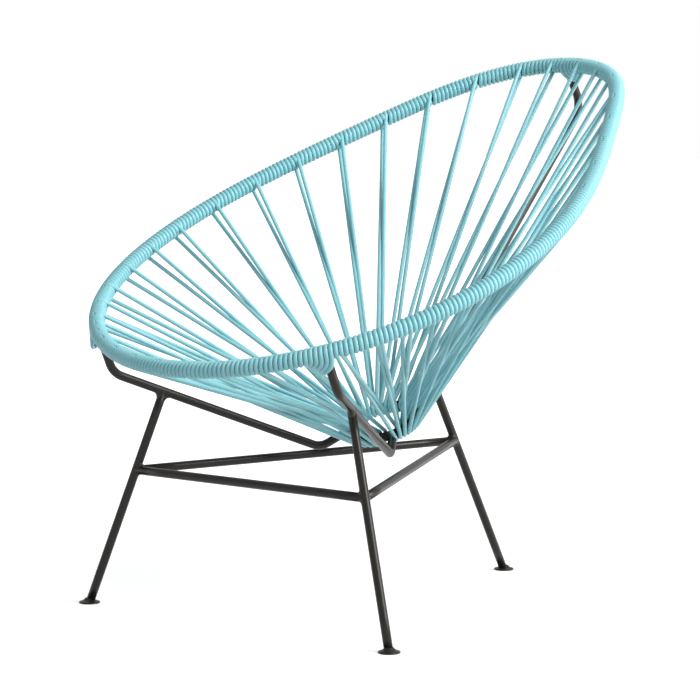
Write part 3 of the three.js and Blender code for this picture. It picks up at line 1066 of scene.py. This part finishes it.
    def strand_tube(self, node: int, ring_angle: float, offset: float) -> Tube:
        """The cord from one top of the rim, down, round the ring, and up to the next top.

        The runs touch the winding's circle and the ring's loop circle, found by trying again from
        each new direction. Along the rim, a run's lean grows with the square of the distance before
        it leaves. On the ring, a cubic carries the loop from one run's slope to the other's.

        Args:
            node: Which turn is let down.
            ring_angle: The loop's place on the ring.
            offset: How far each run meets the ring from that place, so that the runs pass each other.

        Returns:
            The cord's tube.
        """
        turn = node - 1.0
        place, ring_way = self.ring.point(ring_angle), self.ring.along(ring_angle)
        loop = self.frame.rod + self.strand
        arc = self.arc_share * 2.0 * np.pi * self.seat
        rest_slope = self.pitch / (2.0 * np.pi * self.seat)
        down_turn, up_turn = turn + self.first_guess[0], turn + self.first_guess[1]
        at = self.hoop.frames(np.array([(turn + self.strand_middle + self.phase) * self.pitch]))[0][0]
        inside = -np.cross(ring_way, unit(at - place))
        run_a = unit(place - at)
        run_b = -run_a
        for _ in range(self.tries):
            frames = self.hoop.frames((np.array([down_turn, up_turn]) + self.phase) * self.pitch)
            (_, along_a, out_a, down_a), (_, along_b, out_b, down_b) = zip(*(tuple(v) for v in frames))
            flat_a = float(np.hypot(run_a @ out_a, run_a @ down_a))
            flat_b = float(np.hypot(run_b @ out_b, run_b @ down_b))
            down_turn = turn + math.atan2(run_a @ down_a, -(run_a @ out_a)) / (2 * np.pi)
            up_turn = turn + 0.5 + math.atan2(-(run_b @ down_b), run_b @ out_b) / (2 * np.pi)
            lean_a = float((run_a @ along_a) / flat_a - rest_slope) * arc / 2
            lean_b = -float((run_b @ along_b) / flat_b - rest_slope) * arc / 2
            leave = self.helix(np.array([down_turn]), lean_a)[0][0]
            reach = self.helix(np.array([up_turn]), lean_b)[0][0]
            in_a, in_b = across(run_a, ring_way), across(run_b, ring_way)
            spoke_a = np.cross(in_a, ring_way)
            spoke_a *= -np.sign(spoke_a @ inside)
            spoke_b = np.cross(in_b, ring_way)
            spoke_b *= np.sign(spoke_b @ inside)
            touch = place + loop * spoke_a - ring_way * offset
            part = place + loop * spoke_b + ring_way * offset
            run_a, run_b = unit(touch - leave), unit(reach - part)
        before = np.linspace(turn, down_turn, self.rim_points[0])
        after = np.linspace(up_turn, turn + 1.0, self.rim_points[1])
        x_a = np.clip(1.0 - (down_turn - before) / self.arc_share, 0.0, 1.0)
        x_b = np.clip(1.0 - (after - up_turn) / self.arc_share, 0.0, 1.0)
        first, first_side = self.helix(before, lean_a * x_a ** 2)
        last, last_side = self.helix(after, lean_b * x_b ** 2)
        share = self._run_shares(float(np.linalg.norm(touch - leave)))
        bow = self.bow * np.sin(np.pi * share) ** 2
        side_a = first_side[-1] * (1 - share) + ring_way * share
        down = leave + (touch - leave) * share - side_a * bow
        back = share[::-1]
        side_b = last_side[0] * (1 - back) + ring_way * back
        up = reach + (part - reach) * back + side_b * bow[::-1]
        sweep = math.atan2(float(spoke_b @ in_a), float(spoke_b @ spoke_a)) % (2 * np.pi)
        theta = np.linspace(0.0, sweep, self.loop_points)[1:-1, None]
        x = theta / sweep
        slope_a, slope_b = (float(run @ ring_way) / float(np.linalg.norm(run - ring_way * (run @ ring_way)))
                            * loop * sweep for run in (run_a, run_b))
        across_ring = (-offset * (2 * x ** 3 - 3 * x ** 2 + 1) + slope_a * (x ** 3 - 2 * x ** 2 + x)
                       + offset * (3 * x ** 2 - 2 * x ** 3) + slope_b * (x ** 3 - x ** 2))
        hook = place + loop * (np.cos(theta) * spoke_a + np.sin(theta) * in_a) + ring_way * across_ring
        path = np.concatenate([first, down[1:], hook, up[:-1], last])
        hook_side = np.broadcast_to(ring_way, hook.shape)
        side = np.concatenate([first_side, side_a[1:], hook_side, side_b[:-1], last_side])
        near_a = smooth(np.linalg.norm(down[1:] - leave, axis=1) / self.settle)
        near_b = smooth(np.linalg.norm(up[:-1] - reach, axis=1) / self.settle)
        thin = np.concatenate([
            np.zeros(len(first)), near_a, np.ones(len(hook)), near_b, np.zeros(len(last))])
        wide = self.pitch * self.half_width_share * (1 - thin) + self.strand * thin
        high = self.half_height * (1 - thin) + self.strand * thin
        spread, change = self.strand_tone
        return Tube(path, side, wide, high, self.sides, start=node * self.strand_start,
                    tone=PLAIN_TONE + spread * math.sin(node * change))

    def loop_angles(self, bay: Bay) -> Array:
        """Where a bay's loops hang on the ring.

        Args:
            bay: The bay.

        Returns:
            Ring angles in radians: even steps over the bay's span. In the right bay the pull of the
            cord has slid the middle loops on by a hump: a power of the sine of half a turn times a
            power of the loop's share of the span.
        """
        share = np.linspace(0.0, 1.0, len(self.nodes[bay]))
        start, end = self.ring_spans[bay]
        skew, peak = self.slide_powers
        slide = self.right_slide * np.sin(np.pi * share ** skew) ** peak if bay is Bay.RIGHT else 0.0
        return np.radians(start + (end - start) * share + slide)

    def _run_shares(self, length: float) -> Array:
        """Where to place points on a run: close together at its ends, wide apart between.

        Args:
            length: The run's length.

        Returns:
            Shares of the length, as a column.
        """
        near = np.array(self.end_steps)
        middle = np.linspace(self.clear_end, length - self.clear_end, self.middle_points)
        return (np.concatenate([near, middle, (length - near)[::-1]]) / length)[:, None]

    def build(self) -> list[bpy.types.Object]:
        """Make the winding of each bay and every strand.

        Returns:
            The finished pieces.
        """
        done = []
        edges = {side: int(np.floor((self.arm_edge + place) / self.pitch - 0.5 - self.phase)) + 1
                 for side, place in self.arm_lengths.items()}
        spans = {Bay.FRONT: (edges[Side.RIGHT], edges[Side.LEFT] + self.turns),
                 Bay.LEFT: (edges[Side.LEFT], edges[Side.REAR]),
                 Bay.RIGHT: (edges[Side.REAR], edges[Side.RIGHT])}
        for bay in Bay:
            start, end = spans[bay]
            winding = Piece(f"cord_winding_{bay.value}", [f"rim_wrap_{bay.value}"], "pvc_cord")
            tops = [(node - 1) + (self.turns if bay is Bay.FRONT else 0) for node in self.nodes[bay]]
            angles = self.loop_angles(bay)
            here = start
            for number, (top, angle) in enumerate(zip(tops, angles), start=1):
                winding.add_tube(self.wound(here, top))
                here = top + 1
                name = f"strand_{bay.value}_{number:02d}"
                strand = Piece(f"cord_{name}", [name], "pvc_cord")
                strand.add_tube(self.strand_tube(top + 1, float(angle), self.offsets[bay]))
                done.append(strand.finish(self.cord))
            winding.add_tube(self.wound(here, end))
            done.append(winding.finish(self.cord))
        return done


# Studio

@dataclass(frozen=True)
class Lamp:
    """One soft rectangular lamp: its name, place, width and height in metres, and power in watts."""

    name: str
    place: tuple[float, float, float]
    size: tuple[float, float]
    power: float

    def build(self, aim: tuple[float, float, float]) -> None:
        """Make the lamp, turned towards a point.

        Args:
            aim: The point that it faces.
        """
        light = bpy.data.lights.new(self.name, "AREA")
        light.shape = "RECTANGLE"
        light.size, light.size_y = self.size
        light.energy = self.power
        lamp = bpy.data.objects.new(self.name, light)
        turn = (Vector(aim) - Vector(self.place)).to_track_quat("-Z", "Y")
        lamp.matrix_world = Matrix.LocRotScale(Vector(self.place), turn, None)
        bpy.context.scene.collection.objects.link(lamp)


@dataclass
class Studio:
    """A pale floor, soft lamps from the right, and the camera at the photograph's place."""

    floor_size: float = 40.0
    floor_spans: int = 8
    lamps: tuple[Lamp, ...] = (
        Lamp("key", (6.6, 1.4, 4.8), (4.4, 4.4), 725.0),
        Lamp("right", (5.0, 3.0, 0.7), (4.8, 1.6), 112.0),
        Lamp("fill", (-1.0, -3.6, 2.6), (3.0, 3.0), 3.0))
    lamp_aim: tuple[float, float, float] = (0.0, 0.0, 0.4)
    camera_place: tuple[float, float, float] = (2.7033, -3.2505, 0.7591)
    yaw: float = 0.7071
    pitch: float = 0.0899
    lens: float = 147.75
    shift: tuple[float, float] = (-0.0041, -0.0134)
    sensor: float = 36.0
    reach: float = 100.0

    def build_floor(self) -> bpy.types.Object:
        """Make the floor as a flat grid of points.

        Returns:
            The floor.
        """
        half, spans = self.floor_size / 2, self.floor_spans
        row = spans + 1
        x, y = np.meshgrid(np.linspace(-half, half, row), np.linspace(-half, half, row), indexing="ij")
        points = np.stack([x, y, 0 * x], axis=-1).reshape(-1, 3)
        i, j = np.meshgrid(np.arange(spans), np.arange(spans), indexing="ij")
        first, after = i * row + j, (i + 1) * row + j
        quads = np.stack([first, after, after + 1, first + 1], axis=-1).reshape(-1, 4)
        mesh = bpy.data.meshes.new("floor")
        mesh.from_pydata(points.tolist(), [], quads.tolist())
        mesh.materials.append(StudioFloor().build())
        floor = bpy.data.objects.new("floor", mesh)
        bpy.context.scene.collection.objects.link(floor)
        return floor

    def build_camera(self) -> None:
        """Make the camera from its calibrated place, turn and lens."""
        data = bpy.data.cameras.new("camera")
        data.lens = self.lens
        data.sensor_width = self.sensor
        data.sensor_fit = "HORIZONTAL"
        data.shift_x, data.shift_y = self.shift
        data.clip_end = self.reach
        camera = bpy.data.objects.new("camera", data)
        way = Vector((-math.sin(self.yaw) * math.cos(self.pitch), math.cos(self.yaw) * math.cos(self.pitch),
                      -math.sin(self.pitch)))
        right = Vector((math.cos(self.yaw), math.sin(self.yaw), 0.0))
        turn = Matrix((right, right.cross(way), -way)).transposed().to_4x4()
        camera.matrix_world = Matrix.Translation(Vector(self.camera_place)) @ turn
        bpy.context.scene.collection.objects.link(camera)
        bpy.context.scene.camera = camera

    def build(self) -> None:
        """Make the camera, floor, lamps and sky, and set the plain view transform."""
        self.build_camera()
        self.build_floor()
        bpy.context.scene.world = StudioSky().build()
        for lamp in self.lamps:
            lamp.build(self.lamp_aim)
        bpy.context.scene.view_settings.view_transform = "Standard"


def main() -> None:
    """Build the studio and the chair in order."""
    logging.basicConfig(level=logging.INFO, format="%(message)s")
    Studio().build()
    low, high = (np.array(corner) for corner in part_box("foot_left"))
    setback = float((low[1] + high[1]) / 2)
    hoop, ring = Hoop(setback), Ring(setback)
    frame_work = WeldedFrame(hoop, ring, PowderCoat().build())
    pieces = frame_work.build()
    pieces += CordWork(hoop, ring, frame_work, CordPlastic().build()).build()
    LOG.info("%d pieces", len(pieces))


if __name__ == "__main__":
    main()
